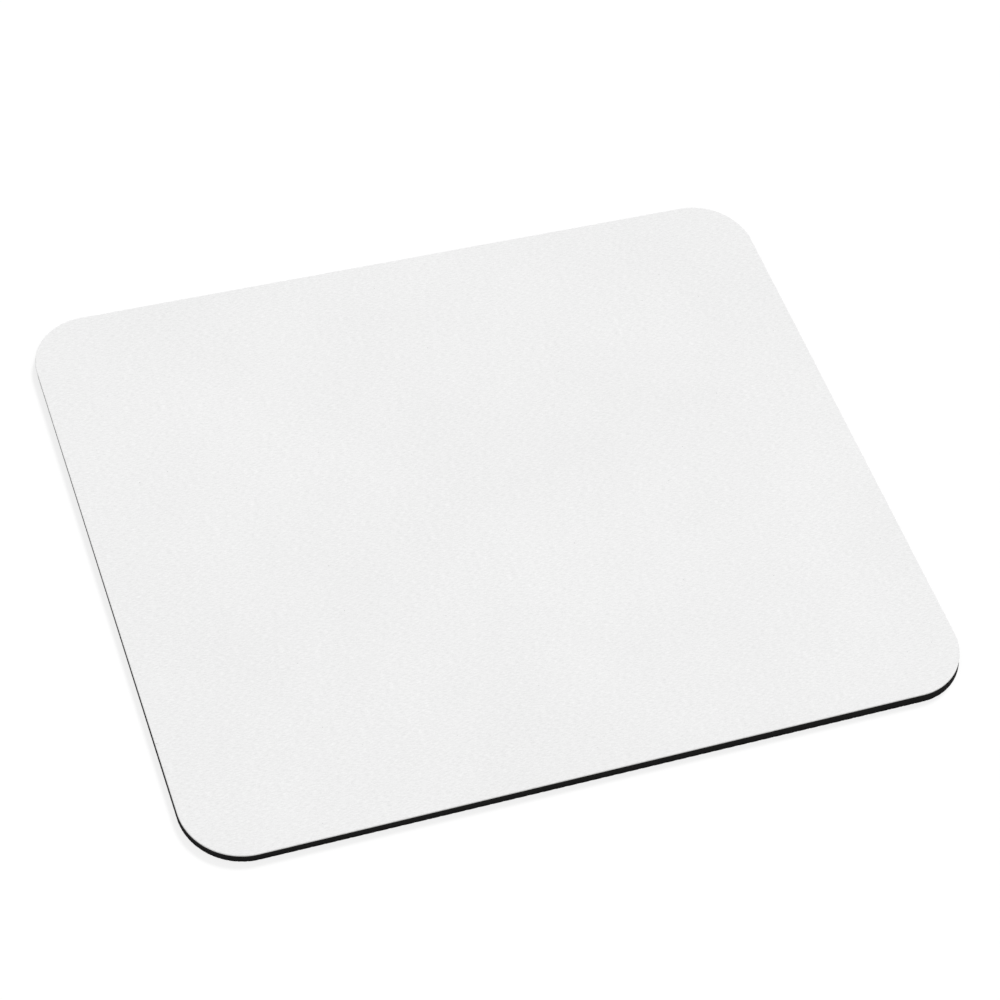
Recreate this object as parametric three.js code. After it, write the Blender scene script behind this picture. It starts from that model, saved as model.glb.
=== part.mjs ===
// Cloth-topped mouse pad: a white polyester knit, bonded by a hot-melt film to a black rubber
// sponge. The layers are laminated as one sheet and die cut together from the cloth side, so
// they share one round-cornered outline, and each keeps the edge that the cutting rule left on it.
// Millimetres, +Z up. X runs along the width and Y to the back. The underside lies on Z = 0.

import * as THREE from "three";

// Outline of the cutting die
const PAD_WIDTH = 216;
const PAD_DEPTH = 180;
const CORNER_RADIUS = 16.5;

// Layers, from the desk up
const RUBBER_THICKNESS = 2.7;
const FILM_THICKNESS = 0.05;
const FABRIC_THICKNESS = 0.25;

// Cut edge: the rule drags the soft sponge as it goes through, so the foot lies a little to the right
// of the cloth's edge, is turned a little clockwise and flares out all round. The squeezed sponge
// springs back hollow, and the rule presses the cloth's rim round
const FOOT_SHIFT = 0.42;
const FOOT_TURN_DEGREES = 0.13;
const FOOT_FLARE = 0.18;
const SPONGE_DRAW_IN = 0.15;
const FABRIC_RIM_RADIUS = 0.2;

// Straight steps in each corner arc, up the sponge's hollow wall and round the cloth's rim
const CORNER_STEPS = 24;
const WALL_STEPS = 8;
const RIM_STEPS = 5;

// The die's outline, counter-clockwise, drawn in all round by an inset. The drag is a share of the
// foot's shift and turn.
function cutOutline(inset, drag) {
  const cornerX = PAD_WIDTH / 2 - CORNER_RADIUS;
  const cornerY = PAD_DEPTH / 2 - CORNER_RADIUS;
  const radius = CORNER_RADIUS - inset;
  const quarter = Math.PI / 2;
  const points = [];
  const corners = [[cornerX, cornerY], [-cornerX, cornerY], [-cornerX, -cornerY], [cornerX, -cornerY]];
  corners.forEach(([x, y], turn) => {
    const arc = new THREE.EllipseCurve(x, y, radius, radius, turn * quarter, (turn + 1) * quarter);
    points.push(...arc.getPoints(CORNER_STEPS));
  });

  const middle = new THREE.Vector2(0, 0);
  const shift = new THREE.Vector2(FOOT_SHIFT * drag, 0);
  const clockwise = THREE.MathUtils.degToRad(-FOOT_TURN_DEGREES * drag);
  return points.map((point) => point.rotateAround(middle, clockwise).add(shift));
}

// A closed solid through a stack of outlines, listed from the lowest up as { z, inset, drag }.
function loft(sections) {
  const rings = sections.map(({ inset, drag = 0 }) => cutOutline(inset, drag));
  const count = rings[0].length;
  const positions = [];
  rings.forEach((ring, level) => {
    ring.forEach((point) => positions.push(point.x, point.y, sections[level].z));
  });

  const faces = [];
  const topStart = (rings.length - 1) * count;
  for (let start = 0; start < topStart; start += count) {
    for (let i = 0; i < count; i += 1) {
      const here = start + i;
      const next = start + (i + 1) % count;
      faces.push(here, next, next + count);
      faces.push(here, next + count, here + count);
    }
  }
  for (const [a, b, c] of THREE.ShapeUtils.triangulateShape(rings[0], [])) {
    faces.push(c, b, a);
    faces.push(topStart + a, topStart + b, topStart + c);
  }

  const geometry = new THREE.BufferGeometry();
  geometry.setAttribute("position", new THREE.Float32BufferAttribute(positions, 3));
  geometry.setIndex(faces);
  geometry.computeVertexNormals();
  return geometry;
}

// Black rubber sponge, flat on the desk. Its cut wall leans with the drag, flares towards the foot
// and is a shallow hollow.
function rubberBase() {
  const sections = [];
  for (let step = 0; step <= WALL_STEPS; step += 1) {
    const height = step / WALL_STEPS;
    const hollow = SPONGE_DRAW_IN * 4 * height * (1 - height);
    const flare = FOOT_FLARE * (1 - height);
    sections.push({ z: RUBBER_THICKNESS * height, inset: hollow - flare, drag: 1 - height });
  }
  return loft(sections);
}

// Hot-melt film, cut square through its thickness.
function bondingFilm() {
  return loft([{ z: 0, inset: 0 }, { z: FILM_THICKNESS, inset: 0 }]);
}

// White polyester knit. The rim turns over in a quarter round, which its thickness can limit.
function surfaceFabric() {
  const radius = Math.min(FABRIC_RIM_RADIUS, FABRIC_THICKNESS);
  const sections = [];
  if (radius < FABRIC_THICKNESS) {
    sections.push({ z: 0, inset: 0 });
  }
  for (let step = 0; step <= RIM_STEPS; step += 1) {
    const angle = (step / RIM_STEPS) * (Math.PI / 2);
    sections.push({
      z: FABRIC_THICKNESS - radius * (1 - Math.sin(angle)),
      inset: radius * (1 - Math.cos(angle)),
    });
  }
  return loft(sections);
}

// One layer of the laminate, at the height of what it lies on.
function layer(name, geometry, color, roughness, height) {
  const material = new THREE.MeshStandardMaterial({ color, roughness, metalness: 0 });
  const mesh = new THREE.Mesh(geometry, material);
  mesh.name = name;
  mesh.position.z = height;
  return mesh;
}

const BLACK_RUBBER = 0x1c1c1c;
const PALE_HOT_MELT = 0xd9d4c4;
const WHITE_POLYESTER = 0xf0f0f0;

const filmHeight = RUBBER_THICKNESS;
const fabricHeight = filmHeight + FILM_THICKNESS;

const mousePad = new THREE.Group();
mousePad.name = "mouse_pad";
mousePad.add(layer("rubber_base", rubberBase(), BLACK_RUBBER, 0.85, 0));
mousePad.add(layer("bonding_film", bondingFilm(), PALE_HOT_MELT, 0.4, filmHeight));
mousePad.add(layer("surface_fabric", surfaceFabric(), WHITE_POLYESTER, 0.9, fabricHeight));

// The origin lies under the middle of the whole box, which the shifted foot makes a little wider.
const box = new THREE.Box3().setFromObject(mousePad);
mousePad.position.x = -(box.min.x + box.max.x) / 2;

export default mousePad;
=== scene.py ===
import math

import bmesh
import bpy
from mathutils import Matrix, Quaternion, Vector, noise


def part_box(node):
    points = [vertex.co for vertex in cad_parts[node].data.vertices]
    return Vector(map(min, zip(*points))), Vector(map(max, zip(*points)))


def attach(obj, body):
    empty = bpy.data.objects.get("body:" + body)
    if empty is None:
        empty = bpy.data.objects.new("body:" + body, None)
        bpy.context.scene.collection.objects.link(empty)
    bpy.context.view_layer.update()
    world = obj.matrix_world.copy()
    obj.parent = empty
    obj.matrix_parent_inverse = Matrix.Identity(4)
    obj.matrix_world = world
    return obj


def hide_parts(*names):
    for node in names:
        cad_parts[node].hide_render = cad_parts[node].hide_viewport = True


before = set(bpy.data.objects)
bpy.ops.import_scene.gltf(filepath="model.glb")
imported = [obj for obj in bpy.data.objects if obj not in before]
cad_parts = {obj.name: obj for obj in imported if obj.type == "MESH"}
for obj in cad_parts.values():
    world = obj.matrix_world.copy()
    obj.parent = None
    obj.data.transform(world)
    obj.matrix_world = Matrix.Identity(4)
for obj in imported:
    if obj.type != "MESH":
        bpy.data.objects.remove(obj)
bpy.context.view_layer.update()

bpy.context.scene.view_settings.view_transform = "Standard"


# Rubber base
# A sheet of black natural rubber sponge. It is calendered with rows of small raised diamonds below,
# which grip the desk, and it is die cut through with the layers above it. Its wall is bare
# open-celled sponge, hollow from the die's squeeze, and its foot flares and lies to one side.

base_low, base_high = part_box("rubber_base")
die_low, die_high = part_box("surface_fabric")
DIE_MIDDLE = (die_low.xy + die_high.xy) / 2
HALF_WIDTH = (die_high.x - die_low.x) / 2
HALF_DEPTH = (die_high.y - die_low.y) / 2
CORNER_RADIUS = 0.0165
CORNER_STEPS = 36
STRAIGHT_STEP = 0.003
FOOT_SHIFT = Vector((0.00042, 0))
FOOT_TURN = math.radians(-0.13)


def cut_outline(inset, height):
    """Points round the die's steel rule at a height, counter-clockwise, drawn in by an inset.

    From the top of the sponge down, the rule drags the outline to the right and turns it a little.
    """
    corner = Vector((HALF_WIDTH - CORNER_RADIUS, HALF_DEPTH - CORNER_RADIUS))
    points = []
    for quarter, (side_x, side_y) in enumerate(((1, 1), (-1, 1), (-1, -1), (1, -1))):
        centre = Vector((corner.x * side_x, corner.y * side_y))
        for step in range(CORNER_STEPS + 1):
            angle = (quarter + step / CORNER_STEPS) * math.pi / 2
            ray = Vector((math.cos(angle), math.sin(angle)))
            points.append(centre + ray * (CORNER_RADIUS - inset))
        run = 2 * (corner.x if quarter % 2 == 0 else corner.y)
        along = Vector((-ray.y, ray.x))
        start = points[-1]
        steps = round(run / STRAIGHT_STEP)
        points.extend(start + along * (run * step / steps) for step in range(1, steps))
    drag = min(max((base_high.z - height) / (base_high.z - base_low.z), 0), 1)
    turn = Matrix.Rotation(FOOT_TURN * drag, 2)
    return [DIE_MIDDLE + FOOT_SHIFT * drag + turn @ point for point in points]


def die_cut_solid(profile):
    """A closed bmesh through stacked outlines, listed from the lowest up as (inset, height)."""
    solid = bmesh.new()
    rings = [
        [solid.verts.new((point.x, point.y, height)) for point in cut_outline(inset, height)]
        for inset, height in profile
    ]
    for lower, upper in zip(rings, rings[1:]):
        for i in range(len(lower)):
            solid.faces.new((lower[i - 1], lower[i], upper[i], upper[i - 1]))
    solid.faces.new(list(reversed(rings[0])))
    solid.faces.new(rings[-1])
    return solid


def make_piece(name, solid, crease_degrees):
    """A smooth-shaded object from a bmesh, creased where its faces meet at a sharper angle."""
    mesh = bpy.data.meshes.new(name)
    solid.to_mesh(mesh)
    solid.free()
    for face in mesh.polygons:
        face.use_smooth = True
    mesh.set_sharp_from_angle(angle=math.radians(crease_degrees))
    piece = bpy.data.objects.new(name, mesh)
    bpy.context.collection.objects.link(piece)
    return piece


MAP_MARGIN = 0.004
HIDDEN_SCALE = 0.16
HIDDEN_FACING = -0.9


def lay_out_map(piece, shown):
    """The map of a piece as the flat sheet it was cut from, with its cut wall folded out round it.

    shown is 1 where the top shows and -1 where the underside does. The hidden side is drawn small,
    in the strip that the shown side leaves free.
    """
    mesh = piece.data
    heights = [vertex.co.z for vertex in mesh.vertices]
    level = max(heights) if shown > 0 else min(heights)
    straight_x = HALF_WIDTH - CORNER_RADIUS
    straight_y = HALF_DEPTH - CORNER_RADIUS
    middle_y = HALF_DEPTH + MAP_MARGIN
    hidden_y = 2 * middle_y + HALF_DEPTH * HIDDEN_SCALE
    scale = 1 / (2 * (HALF_WIDTH + MAP_MARGIN))
    layer = mesh.uv_layers.new(name="OFBake")
    for face in mesh.polygons:
        hidden = face.normal.z * shown < HIDDEN_FACING
        for corner in face.loop_indices:
            vertex = mesh.vertices[mesh.loops[corner].vertex_index]
            place = vertex.co.xy - DIE_MIDDLE
            flat = Vector((place.x * shown, place.y))
            if hidden:
                flat = flat * HIDDEN_SCALE + Vector((0, hidden_y))
            else:
                inner_x = max(-straight_x, min(straight_x, place.x))
                inner_y = max(-straight_y, min(straight_y, place.y))
                inner = Vector((inner_x, inner_y))
                outward = (place - inner).normalized() * abs(vertex.co.z - level)
                flat += Vector((outward.x * shown, outward.y + middle_y))
            layer.data[corner].uv = (flat.x * scale + 0.5, flat.y * scale)


DIAMOND_WIDTH = 0.0034
DIAMOND_DEPTH = 0.0024
DIAMOND_TOP = 0.72
GROOVE_DEPTH = 0.00008
SHEET_MARGIN = 0.004


def grip_sheet():
    """The uncut sheet, flat above and moulded below with rows of diamonds between V grooves."""
    sheet = bmesh.new()
    columns = math.ceil(2 * (HALF_WIDTH + SHEET_MARGIN) / DIAMOND_WIDTH)
    rows = math.ceil(2 * (HALF_DEPTH + SHEET_MARGIN) / DIAMOND_DEPTH)
    nodes = {}

    def groove_node(column, row):
        if (column, row) not in nodes:
            place = (column * DIAMOND_WIDTH / 2, row * DIAMOND_DEPTH / 2, base_low.z + GROOVE_DEPTH)
            nodes[column, row] = sheet.verts.new(place)
        return nodes[column, row]

    for row in range(-rows, rows + 1):
        for column in range(-columns + (row + columns) % 2, columns + 1, 2):
            centre = Vector((column * DIAMOND_WIDTH / 2, row * DIAMOND_DEPTH / 2, base_low.z))
            rim = [
                groove_node(column - 1, row),
                groove_node(column, row + 1),
                groove_node(column + 1, row),
                groove_node(column, row - 1),
            ]
            top = []
            for node in rim:
                reach = (node.co - centre) * DIAMOND_TOP
                top.append(sheet.verts.new((centre.x + reach.x, centre.y + reach.y, base_low.z)))
            sheet.faces.new(top)
            for i in range(len(rim)):
                sheet.faces.new((rim[i - 1], rim[i], top[i], top[i - 1]))

    border = [edge for edge in sheet.edges if edge.is_boundary]
    walls = bmesh.ops.extrude_edge_only(sheet, edges=border)["geom"]
    for vert in (item for item in walls if isinstance(item, bmesh.types.BMVert)):
        vert.co.z = base_high.z
    wall_edges = (item for item in walls if isinstance(item, bmesh.types.BMEdge))
    bmesh.ops.edgeloop_fill(sheet, edges=[edge for edge in wall_edges if edge.is_boundary])
    bmesh.ops.recalc_face_normals(sheet, faces=sheet.faces)
    return sheet


SPONGE_DRAW_IN = 0.00015
FOOT_FLARE = 0.00018
WALL_STEPS = 10
RULE_OVERRUN = 0.001


def rule_profile():
    """The die's path through the sheet: straight above and below it, hollow and flared within it."""
    profile = [(-FOOT_FLARE, base_low.z - RULE_OVERRUN)]
    for step in range(WALL_STEPS + 1):
        share = step / WALL_STEPS
        height = base_low.z + (base_high.z - base_low.z) * share
        hollow = SPONGE_DRAW_IN * 4 * share * (1 - share)
        flare = FOOT_FLARE * (1 - share)
        profile.append((hollow - flare, height))
    profile.append((0, base_high.z + RULE_OVERRUN))
    return profile


def cut_out(sheet, rule):
    """The part of the sheet inside the rule, as a bmesh. The two objects are used up."""
    cut = sheet.modifiers.new("die cut", "BOOLEAN")
    cut.operation = "INTERSECT"
    cut.solver = "MANIFOLD"
    cut.object = rule
    bpy.context.view_layer.update()
    shown = sheet.evaluated_get(bpy.context.evaluated_depsgraph_get())
    solid = bmesh.new()
    solid.from_mesh(shown.to_mesh())
    for scrap in (sheet, rule):
        mesh = scrap.data
        bpy.data.objects.remove(scrap)
        bpy.data.meshes.remove(mesh)
    return solid


SPONGE_CREASE = 35
uncut_sheet = make_piece("grip_sheet", grip_sheet(), SPONGE_CREASE)
cutting_rule = make_piece("cutting_rule", die_cut_solid(rule_profile()), SPONGE_CREASE)
sponge_base = make_piece("sponge_base", cut_out(uncut_sheet, cutting_rule), SPONGE_CREASE)
lay_out_map(sponge_base, -1)


def add_node(tree, kind, inputs=None, **settings):
    """A shader node, with its settings, and with its inputs set to values or linked to sockets."""
    node = tree.nodes.new(kind)
    for name, value in settings.items():
        setattr(node, name, value)
    for name, value in (inputs or {}).items():
        if isinstance(value, bpy.types.NodeSocket):
            tree.links.new(value, node.inputs[name])
        else:
            node.inputs[name].default_value = value
    return node


def calculate(tree, operation, *values, clamp=False):
    """The result of a Math node."""
    inputs = dict(enumerate(values))
    return add_node(tree, "ShaderNodeMath", inputs, operation=operation, use_clamp=clamp).outputs[0]


def between(tree, mask, low, high):
    """A value that runs from low, where a mask is 0, to high, where it is 1."""
    return calculate(tree, "MULTIPLY_ADD", mask, high - low, low)


def start_group(name, inputs, outputs):
    """An empty shader node group with its sockets: the group, what it is given and its results."""
    group = bpy.data.node_groups.new(name, "ShaderNodeTree")
    for label, kind in inputs:
        group.interface.new_socket(label, in_out="INPUT", socket_type=kind)
    for label in outputs:
        group.interface.new_socket(label, in_out="OUTPUT", socket_type="NodeSocketFloat")
    given = group.nodes.new("NodeGroupInput").outputs
    results = group.nodes.new("NodeGroupOutput").inputs
    return group, given, results


def make_tone_drift():
    """Slow cloudy drift of tone and finish, as any dyed and rolled sheet has. Its mean is 1."""
    inputs = [
        ("Place", "NodeSocketVector"),
        ("Patches per metre", "NodeSocketFloat"),
        ("Contrast", "NodeSocketFloat"),
    ]
    group, given, results = start_group("tone drift", inputs, ["Tone"])
    cloud = add_node(
        group,
        "ShaderNodeTexNoise",
        {
            "Vector": given["Place"],
            "Scale": given["Patches per metre"],
            "Detail": 4.0,
            "Roughness": 0.6,
        },
    )
    swing = calculate(group, "SUBTRACT", cloud.outputs["Fac"], 0.5)
    tone = calculate(group, "MULTIPLY_ADD", swing, given["Contrast"], 1.0)
    group.links.new(tone, results["Tone"])
    return group


SMALLEST_SPECK = 0.6
SPECK_RAGS_PER_METRE = 2500.0


def make_stray_specks():
    """Sparse specks of lint and dust, as a mask that is 1 in the middle of each.

    Share is the share of cells that hold a speck. Radius is the largest speck's, in cells, before
    its rim is made ragged.
    """
    inputs = [
        ("Place", "NodeSocketVector"),
        ("Cells per metre", "NodeSocketFloat"),
        ("Share", "NodeSocketFloat"),
        ("Radius", "NodeSocketFloat"),
    ]
    group, given, results = start_group("stray specks", inputs, ["Specks"])
    wobble = add_node(
        group,
        "ShaderNodeTexNoise",
        {"Vector": given["Place"], "Scale": SPECK_RAGS_PER_METRE, "Detail": 1.0},
    )
    cells = add_node(
        group,
        "ShaderNodeTexVoronoi",
        {"Vector": given["Place"], "Scale": given["Cells per metre"]},
        voronoi_dimensions="2D",
    )
    draw = add_node(group, "ShaderNodeSeparateColor", {"Color": cells.outputs["Color"]})
    chosen = calculate(group, "LESS_THAN", draw.outputs["Red"], given["Share"])
    spread = between(group, draw.outputs["Green"], SMALLEST_SPECK, 1.0)
    size = calculate(group, "MULTIPLY", given["Radius"], spread)
    uneven = calculate(group, "MULTIPLY", wobble.outputs["Fac"], 2.0)
    ragged = calculate(group, "MULTIPLY", size, uneven)
    reach = calculate(group, "DIVIDE", cells.outputs["Distance"], ragged)
    inside = calculate(group, "SUBTRACT", 1.0, reach, clamp=True)
    group.links.new(calculate(group, "MULTIPLY", inside, chosen), results["Specks"])
    return group


tone_drift = make_tone_drift()
stray_specks = make_stray_specks()


def start_material(name):
    """A new node material: its tree, its Principled shader and the place on the pad in metres."""
    material = bpy.data.materials.new(name)
    material.use_nodes = True
    tree = material.node_tree
    place = tree.nodes.new("ShaderNodeTexCoord").outputs["Object"]
    return material, tree, tree.nodes["Principled BSDF"], place


def use_group(tree, group, **inputs):
    """The outputs of a placed node group, with its inputs named by their labels."""
    labels = {label.replace("_", " "): value for label, value in inputs.items()}
    return add_node(tree, "ShaderNodeGroup", labels, node_tree=group).outputs


def tint(tree, colour, *tones):
    """A plain colour, multiplied by one or more tones that vary over the surface."""
    product = tones[0]
    for tone in tones[1:]:
        product = calculate(tree, "MULTIPLY", product, tone)
    scaled = add_node(tree, "ShaderNodeVectorMath", {0: colour, "Scale": product}, operation="SCALE")
    return scaled.outputs["Vector"]


SKIN_BLACK = (0.0116, 0.0116, 0.0118)
PORES_PER_METRE = 5200.0


def make_grip_skin():
    """Moulded rubber skin of the underside: smoother on the diamonds and dull between, with painted
    shade that lightens the diamonds and darkens the grooves.
    """
    material, tree, shader, place = start_material("moulded rubber skin")
    drift = use_group(tree, tone_drift, Place=place, Patches_per_metre=60.0, Contrast=0.5)
    dust = use_group(tree, stray_specks, Place=place, Cells_per_metre=220.0, Share=0.03, Radius=0.04)
    pores = add_node(
        tree, "ShaderNodeTexNoise", {"Vector": place, "Scale": PORES_PER_METRE, "Detail": 3.0}
    )
    grain = pores.outputs["Fac"]
    height = add_node(tree, "ShaderNodeSeparateXYZ", {"Vector": place}).outputs["Z"]
    rise = calculate(tree, "SUBTRACT", height, base_low.z)
    groove = calculate(tree, "DIVIDE", rise, GROOVE_DEPTH, clamp=True)
    # Painted shade: the colour is darker in the grooves and lighter on the raised diamonds.
    painted_hollow_shade = between(tree, groove, 1.5, 0.4)
    pale = between(tree, dust["Specks"], 1.0, 3.0)
    tree.links.new(tint(tree, SKIN_BLACK, drift["Tone"], painted_hollow_shade, pale), shader.inputs["Base Color"])
    rubbed = between(tree, groove, 0.5, 0.75)
    rough = calculate(tree, "MULTIPLY_ADD", grain, 0.2, rubbed)
    tree.links.new(rough, shader.inputs["Roughness"])
    bump = add_node(tree, "ShaderNodeBump", {"Height": grain, "Strength": 0.5, "Distance": 0.00003})
    tree.links.new(bump.outputs["Normal"], shader.inputs["Normal"])
    shader.inputs["Specular IOR Level"].default_value = 0.15
    return material


SPONGE_BLACK = (0.0122, 0.012, 0.012)
LARGE_CELLS_PER_METRE = 4200.0
LARGE_WEB_CONTRAST = 1.3
LARGE_WEB_SHARE = 0.6
FINE_CELLS_PER_METRE = 9500.0
FINE_WEB_CONTRAST = 1.2
FINE_WEB_SHARE = 0.4


def make_cut_sponge():
    """Bare cut sponge of the wall: fine open cells with greyer webs between them, and painted shade
    darkening the inside of each cell.
    """
    material, tree, shader, place = start_material("cut rubber sponge")
    drift = use_group(tree, tone_drift, Place=place, Patches_per_metre=180.0, Contrast=0.4)
    large = add_node(tree, "ShaderNodeTexVoronoi", {"Vector": place, "Scale": LARGE_CELLS_PER_METRE})
    fine = add_node(tree, "ShaderNodeTexVoronoi", {"Vector": place, "Scale": FINE_CELLS_PER_METRE})
    large_web = calculate(tree, "MULTIPLY", large.outputs["Distance"], LARGE_WEB_CONTRAST, clamp=True)
    fine_web = calculate(tree, "MULTIPLY", fine.outputs["Distance"], FINE_WEB_CONTRAST, clamp=True)
    fine_part = calculate(tree, "MULTIPLY", fine_web, FINE_WEB_SHARE)
    web = calculate(tree, "MULTIPLY_ADD", large_web, LARGE_WEB_SHARE, fine_part)
    # Painted shade: the colour is darker inside the open cells and lighter on the webs between them.
    painted_hollow_shade = between(tree, web, 0.45, 1.55)
    tree.links.new(tint(tree, SPONGE_BLACK, drift["Tone"], painted_hollow_shade), shader.inputs["Base Color"])
    tree.links.new(between(tree, web, 0.98, 0.86), shader.inputs["Roughness"])
    bump = add_node(tree, "ShaderNodeBump", {"Height": web, "Strength": 0.8, "Distance": 0.00008})
    tree.links.new(bump.outputs["Normal"], shader.inputs["Normal"])
    shader.inputs["Specular IOR Level"].default_value = 0.05
    return material


WALL_TILT = 0.5
sponge_base.data.materials.append(make_grip_skin())
sponge_base.data.materials.append(make_cut_sponge())
for face in sponge_base.data.polygons:
    face.material_index = 1 if abs(face.normal.z) < WALL_TILT else 0

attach(sponge_base, "root")
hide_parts("rubber_base")


# Bonding film
# A hot-melt adhesive web, ironed between the knit and the sponge. It shows only as a hair-thin
# pale line at the cut edge, where the heat has left it very slightly rounded.

film_low, film_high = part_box("bonding_film")
FILM_ROUNDING = 0.00001
FILM_CREASE = 80
film_middle = (film_low.z + film_high.z) / 2
film_profile = [(FILM_ROUNDING, film_low.z), (0, film_middle), (FILM_ROUNDING, film_high.z)]
glue_film = make_piece("glue_film", die_cut_solid(film_profile), FILM_CREASE)
lay_out_map(glue_film, 1)

MILKY_GLUE = (0.69, 0.66, 0.55)
GLUE_ROUGHNESS = 0.42


def make_hot_melt():
    """Milky hot melt, a little uneven where the web has fused."""
    material, tree, shader, place = start_material("fused hot melt")
    drift = use_group(tree, tone_drift, Place=place, Patches_per_metre=900.0, Contrast=0.25)
    tree.links.new(tint(tree, MILKY_GLUE, drift["Tone"]), shader.inputs["Base Color"])
    rough = calculate(tree, "MULTIPLY", drift["Tone"], GLUE_ROUGHNESS)
    tree.links.new(rough, shader.inputs["Roughness"])
    return material


glue_film.data.materials.append(make_hot_melt())
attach(glue_film, "root")
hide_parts("bonding_film")


# Cloth top
# A fine white polyester knit, heat bonded to the film and cut with it. The die comes down on this
# side, so it presses the rim round. The cloth lies flat, but for the faint swells of the sponge.

cloth_low, cloth_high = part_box("surface_fabric")
RIM_RADIUS = 0.0002
RIM_STEPS = 6
RIM_SHOULDER = 0.0005
CLOTH_CREASE = 60
SWELL_HEIGHT = 0.00003
SWELL_LENGTH = 0.028
SWELL_FADE = 0.004
GRID_STEP = 0.004


def cloth_profile():
    """Up the cut edge, round the pressed rim and on to the flat."""
    profile = [(0, cloth_low.z)]
    for step in range(RIM_STEPS + 1):
        angle = math.pi / 2 * step / RIM_STEPS
        drop = RIM_RADIUS * (1 - math.sin(angle))
        profile.append((RIM_RADIUS * (1 - math.cos(angle)), cloth_high.z - drop))
    profile.append((RIM_SHOULDER, cloth_high.z))
    return profile


def slice_in_squares(solid):
    """Slices a solid by upright planes, so that its flat faces are made of small squares."""
    for axis, half in ((Vector((1, 0, 0)), HALF_WIDTH), (Vector((0, 1, 0)), HALF_DEPTH)):
        count = round(2 * half / GRID_STEP)
        for line in range(1, count):
            geometry = solid.verts[:] + solid.edges[:] + solid.faces[:]
            centre = DIE_MIDDLE.to_3d() + axis * (half * (2 * line / count - 1))
            bmesh.ops.bisect_plane(solid, geom=geometry, plane_co=centre, plane_no=axis)


def edge_distance(place):
    """How far a place on the pad is from the cut edge."""
    over_x = abs(place.x - DIE_MIDDLE.x) - HALF_WIDTH + CORNER_RADIUS
    over_y = abs(place.y - DIE_MIDDLE.y) - HALF_DEPTH + CORNER_RADIUS
    outside = math.hypot(max(over_x, 0), max(over_y, 0))
    return CORNER_RADIUS - outside - min(max(over_x, over_y), 0)


def make_cloth_top():
    """The cloth, with its flat top swelling and sinking by a few hundredths of a millimetre."""
    solid = die_cut_solid(cloth_profile())
    slice_in_squares(solid)
    for vert in solid.verts:
        if vert.co.z == cloth_high.z:
            fade = min(max(edge_distance(vert.co) - RIM_SHOULDER, 0) / SWELL_FADE, 1)
            swell = noise.noise(Vector((vert.co.x, vert.co.y, 0)) / SWELL_LENGTH)
            vert.co.z += SWELL_HEIGHT * swell * fade
    return make_piece("cloth_top", solid, CLOTH_CREASE)


cloth_top = make_cloth_top()
lay_out_map(cloth_top, 1)

YARN_WANDERS_PER_METRE = 260.0
YARN_PULL = (0.0003, 0.0003, 0.0)
YARN_FLATTENING = 0.7
LEG_END_HEIGHT = 0.45


def make_knit_stitches():
    """A plain knit's face: columns of small V stitches. Height is 0 between yarns and 1 on them.

    Wale and Course are the spacing of the columns and rows. Lean is how far a leg of the V rises,
    in courses. Draw is a random number for each leg.
    """
    inputs = [
        ("Place", "NodeSocketVector"),
        ("Wale", "NodeSocketFloat"),
        ("Course", "NodeSocketFloat"),
        ("Lean", "NodeSocketFloat"),
    ]
    group, given, results = start_group("knit stitches", inputs, ["Height", "Draw"])
    wander = add_node(
        group,
        "ShaderNodeTexNoise",
        {"Vector": given["Place"], "Scale": YARN_WANDERS_PER_METRE, "Detail": 2.0},
    )
    pulled = add_node(
        group,
        "ShaderNodeVectorMath",
        {0: wander.outputs["Color"], 1: YARN_PULL, 2: given["Place"]},
        operation="MULTIPLY_ADD",
    )
    place = add_node(group, "ShaderNodeSeparateXYZ", {"Vector": pulled.outputs["Vector"]}).outputs
    column = calculate(group, "DIVIDE", place["X"], given["Wale"])
    row = calculate(group, "DIVIDE", place["Y"], given["Course"])
    from_middle = calculate(group, "SUBTRACT", calculate(group, "FRACT", column), 0.5)
    leg = calculate(group, "MULTIPLY", calculate(group, "ABSOLUTE", from_middle), 2.0)
    leaning = calculate(group, "SUBTRACT", row, calculate(group, "MULTIPLY", leg, given["Lean"]))

    over_yarn = calculate(group, "MULTIPLY", calculate(group, "FRACT", leaning), math.pi)
    across = calculate(group, "POWER", calculate(group, "SINE", over_yarn), YARN_FLATTENING)
    along = calculate(group, "SINE", calculate(group, "MULTIPLY", leg, math.pi))
    bulge = between(group, along, LEG_END_HEIGHT, 1.0)
    group.links.new(calculate(group, "MULTIPLY", across, bulge), results["Height"])

    half_column = calculate(group, "FLOOR", calculate(group, "MULTIPLY", column, 2.0))
    whole_row = calculate(group, "FLOOR", leaning)
    cell = add_node(group, "ShaderNodeCombineXYZ", {"X": half_column, "Y": whole_row})
    draw = add_node(
        group, "ShaderNodeTexWhiteNoise", {"Vector": cell.outputs["Vector"]}, noise_dimensions="2D"
    )
    group.links.new(draw.outputs["Value"], results["Draw"])
    return group


knit_stitches = make_knit_stitches()
WALE = 0.0006
COURSE = 0.00028
KNIT_WHITE = (0.87, 0.87, 0.87)
STREAKS_PER_METRE = (700.0, 4000.0, 1.0)


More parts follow.
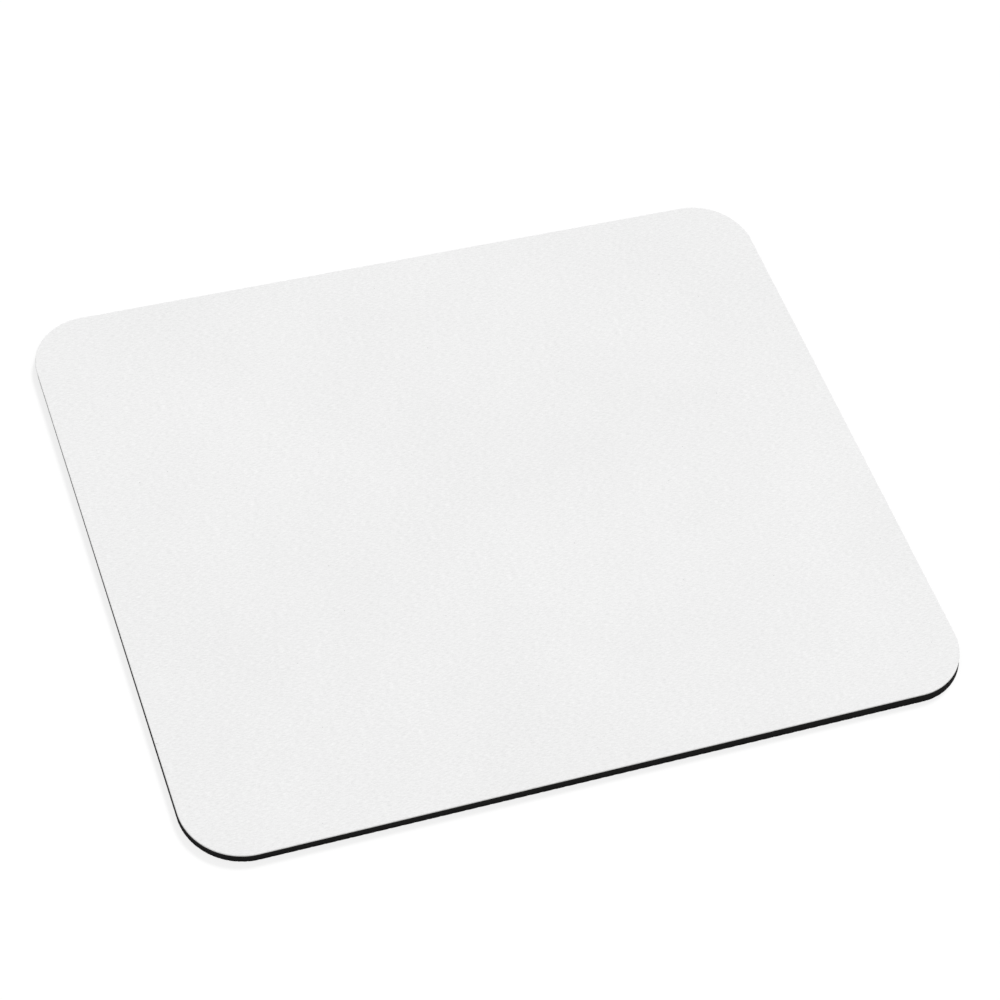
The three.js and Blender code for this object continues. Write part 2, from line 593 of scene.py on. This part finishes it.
def make_white_knit():
    """White polyester knit: matt, a little darker where a yarn runs thin, and with painted shade
    between the yarns.

    The thick and thin places make short streaks along the courses. A few dark flecks are spun in.
    """
    material, tree, shader, place = start_material("white polyester knit")
    knit = use_group(tree, knit_stitches, Place=place, Wale=WALE, Course=COURSE, Lean=0.55)
    drift = use_group(tree, tone_drift, Place=place, Patches_per_metre=16.0, Contrast=0.08)
    lint = use_group(tree, stray_specks, Place=place, Cells_per_metre=120.0, Share=0.1, Radius=0.022)
    stretched = add_node(
        tree, "ShaderNodeVectorMath", {0: place, 1: STREAKS_PER_METRE}, operation="MULTIPLY"
    )
    streaks = add_node(
        tree,
        "ShaderNodeTexNoise",
        {"Vector": stretched.outputs["Vector"], "Scale": 1.0, "Detail": 2.0},
    )
    # Painted shade: the colour is darker in the hollows between the yarns and lighter on their tops.
    yarn = between(tree, knit["Height"], 0.933, 1.053)
    leg = between(tree, knit["Draw"], 0.975, 1.025)
    streak = between(tree, streaks.outputs["Fac"], 0.85, 1.15)
    fleck = between(tree, lint["Specks"], 1.0, 0.5)
    colour = tint(tree, KNIT_WHITE, yarn, leg, streak, drift["Tone"], fleck)
    tree.links.new(colour, shader.inputs["Base Color"])
    tree.links.new(between(tree, knit["Draw"], 0.8, 0.9), shader.inputs["Roughness"])
    relief = {"Height": knit["Height"], "Strength": 0.3, "Distance": 0.00006}
    bump = add_node(tree, "ShaderNodeBump", relief)
    tree.links.new(bump.outputs["Normal"], shader.inputs["Normal"])
    shader.inputs["Specular IOR Level"].default_value = 0.2
    shader.inputs["Sheen Weight"].default_value = 0.08
    shader.inputs["Sheen Roughness"].default_value = 0.5
    return material


cloth_top.data.materials.append(make_white_knit())
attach(cloth_top, "root")
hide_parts("surface_fabric")


# Studio
# A seamless white table under the pad. It shows as pure white, and takes only a faint shadow, which
# falls to the front left, because the one soft lamp stands far off, high at the back right.

TABLE_REACH = 20.0
TABLE_GAP = 0.00005
table_height = base_low.z - TABLE_GAP
table_corners = ((-1, -1), (1, -1), (1, 1), (-1, 1))
table_mesh = bpy.data.meshes.new("table")
table_mesh.from_pydata(
    [(x * TABLE_REACH, y * TABLE_REACH, table_height) for x, y in table_corners],
    [],
    [(0, 1, 2, 3)],
)
table = bpy.data.objects.new("table", table_mesh)
bpy.context.collection.objects.link(table)


def seen_directly(tree):
    """1 for rays from the camera, from mirrors and through glass, and 0 for the light on the pad."""
    path = tree.nodes.new("ShaderNodeLightPath").outputs
    seen = calculate(tree, "MAXIMUM", path["Is Camera Ray"], path["Is Glossy Ray"])
    return calculate(tree, "MAXIMUM", seen, path["Is Transmission Ray"])


PURE_WHITE = (1, 1, 1, 1)
CARD_WHITE = (0.8, 0.8, 0.8, 1)
SHADOW_GREY = (0.25, 0.25, 0.25, 1)
CARD_GLOW = 0.78


def make_table_white():
    """White card. What is seen directly is mostly glow, so that the shadow on it stays faint."""
    material = bpy.data.materials.new("white card")
    material.use_nodes = True
    tree = material.node_tree
    tree.nodes.remove(tree.nodes["Principled BSDF"])
    card = add_node(tree, "ShaderNodeBsdfDiffuse", {"Color": CARD_WHITE})
    faint = add_node(tree, "ShaderNodeBsdfDiffuse", {"Color": SHADOW_GREY})
    glow = add_node(tree, "ShaderNodeEmission", {"Color": PURE_WHITE, "Strength": CARD_GLOW})
    lit = add_node(tree, "ShaderNodeAddShader", {0: faint.outputs[0], 1: glow.outputs[0]})
    mix = add_node(
        tree,
        "ShaderNodeMixShader",
        {"Fac": seen_directly(tree), 1: card.outputs[0], 2: lit.outputs[0]},
    )
    tree.links.new(mix.outputs[0], tree.nodes["Material Output"].inputs["Surface"])
    return material


table_mesh.materials.append(make_table_white())

FILL_STRENGTH = 0.55
world = bpy.data.worlds.new("studio")
bpy.context.scene.world = world
world.use_nodes = True
sky = world.node_tree
fill = sky.nodes["Background"]
fill.inputs["Color"].default_value = PURE_WHITE
fill.inputs["Strength"].default_value = FILL_STRENGTH
backdrop = add_node(sky, "ShaderNodeBackground", {"Color": PURE_WHITE, "Strength": 1.0})
shown_sky = add_node(
    sky,
    "ShaderNodeMixShader",
    {"Fac": seen_directly(sky), 1: fill.outputs[0], 2: backdrop.outputs[0]},
)
sky.links.new(shown_sky.outputs[0], sky.nodes["World Output"].inputs["Surface"])

LAMP_PLACE = Vector((2.6, 3.3, 5.2))
LAMP_SPREAD = math.radians(15)
LAMP_STRENGTH = 1.835
lamp_data = bpy.data.lights.new("softbox", "SUN")
lamp_data.angle = LAMP_SPREAD
lamp_data.energy = LAMP_STRENGTH
lamp = bpy.data.objects.new("softbox", lamp_data)
lamp.location = LAMP_PLACE
lamp.rotation_mode = "QUATERNION"
lamp.rotation_quaternion = (-LAMP_PLACE).to_track_quat("-Z", "Y")
bpy.context.collection.objects.link(lamp)


# Camera
# The photograph's view, with a long lens: from the front left and well above, and tilted a little
# to one side.

EYE = Vector((-0.21912, -0.43107, 0.62316))
AIM = Vector((0.00344, 0.00149, 0.0))
ROLL = math.radians(10.272)
LENS = 103.597
camera_data = bpy.data.cameras.new("camera")
camera_data.lens = LENS
camera = bpy.data.objects.new("camera", camera_data)
camera.location = EYE
camera.rotation_mode = "QUATERNION"
camera.rotation_quaternion = (AIM - EYE).to_track_quat("-Z", "Y") @ Quaternion((0, 0, 1), ROLL)
bpy.context.collection.objects.link(camera)
bpy.context.scene.camera = camera
